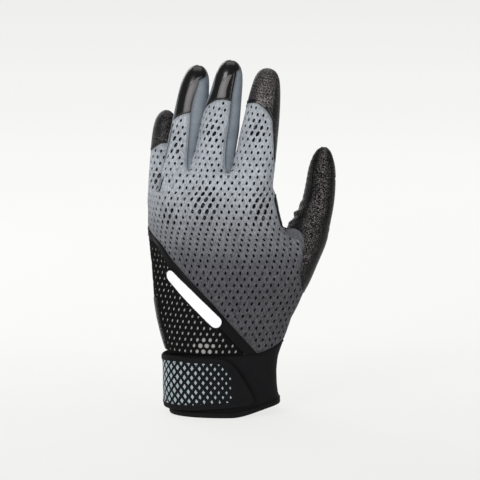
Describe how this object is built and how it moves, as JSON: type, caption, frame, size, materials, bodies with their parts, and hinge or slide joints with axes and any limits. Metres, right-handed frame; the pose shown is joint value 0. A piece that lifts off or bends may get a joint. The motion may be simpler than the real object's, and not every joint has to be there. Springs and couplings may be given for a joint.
{
  "type": "batting glove",
  "caption": "Left-hand batting glove with a perforated mesh back, leather palm and fingertips, panelled finger stalls and a wrist strap that closes with hook and loop.",
  "frame": {"origin": "middle of the glove's outline, on the plane that the hem stands on", "axes": "+Z along the hand towards the fingertips, +X towards the thumb, -Y out of the back of the hand, +Y out of the palm"},
  "size_m": [0.1245, 0.0592, 0.2365],
  "materials": {
    "mesh_cloth": "light grey-blue knit with rows of slanted holes",
    "side_cloth": "grey-blue stretch knit",
    "gloss_film": "glossy black film",
    "leather": "semi-gloss black sheepskin, perforated on the thumb and index finger",
    "neoprene": "smooth black neoprene faced with knit",
    "tape": "black bound edge with a stitched line",
    "speckled_mesh": "black mesh with light points in a staggered pattern",
    "white_film": "white welded film",
    "strap_cloth": "black knit printed with grey-blue diamonds",
    "fleece": "black hook and loop tape and brushed lining"
  },
  "bodies": {
    "hand": {"palm_leather": "leather", "thumb_leather": "leather", "back_mesh": "mesh_cloth", "diagonal_trim": "tape", "side_panel": "speckled_mesh", "edge_band": "tape", "side_bar": "white_film", "cuff_band": "neoprene", "hem_binding": "tape", "cuff_lining": "fleece", "loop_patch": "fleece", "strap_anchor": "tape"},
    "strap": {"strap_face": "strap_cloth", "strap_binding": "tape", "hook_patch": "fleece"},
    "index": {"index_back_mesh": "mesh_cloth", "index_tip_cover": "leather", "index_inner_side": "leather", "index_outer_side": "side_cloth", "index_palm_leather": "leather"},
    "middle": {"middle_back_mesh": "mesh_cloth", "middle_tip_cover": "gloss_film", "middle_inner_side": "side_cloth", "middle_outer_side": "side_cloth", "middle_palm_leather": "leather"},
    "ring": {"ring_back_mesh": "mesh_cloth", "ring_tip_cover": "gloss_film", "ring_inner_side": "side_cloth", "ring_outer_side": "side_cloth", "ring_palm_leather": "leather"},
    "little": {"little_back_mesh": "mesh_cloth", "little_tip_cover": "leather", "little_inner_side": "side_cloth", "little_outer_side": "side_cloth", "little_palm_leather": "leather"},
    "thumb": {"thumb_back": "leather", "thumb_palm": "leather", "thumb_gusset": "leather", "thumb_cap": "leather"}
  },
  "joints": [
    {"name": "index_bend", "type": "hinge", "parent": "hand", "child": "index", "pos_m": [0.01486, -0.00063, 0.16546], "axis": [-0.8589, 0.4959, 0.1276], "range_deg": [0, 70]},
    {"name": "middle_bend", "type": "hinge", "parent": "hand", "child": "middle", "pos_m": [-0.01295, 0.00425, 0.16626], "axis": [-0.8547, 0.4935, 0.161], "range_deg": [0, 70]},
    {"name": "ring_bend", "type": "hinge", "parent": "hand", "child": "ring", "pos_m": [-0.0372, 0.01051, 0.16496], "axis": [-0.8512, 0.4914, 0.1843], "range_deg": [0, 70]},
    {"name": "little_bend", "type": "hinge", "parent": "hand", "child": "little", "pos_m": [-0.04911, 0.02678, 0.15127], "axis": [-0.8632, 0.4984, 0.0808], "range_deg": [0, 70]},
    {"name": "thumb_bend", "type": "hinge", "parent": "hand", "child": "thumb", "pos_m": [0.04333, 0.0118, 0.12167], "axis": [-0.9285, 0, 0.3714], "range_deg": [0, 35]},
    {"name": "strap_lift", "type": "hinge", "parent": "hand", "child": "strap", "pos_m": [-0.0539, 0.0019, 0.022], "axis": [0, 0, -1], "range_deg": [0, 110]}
  ]
}
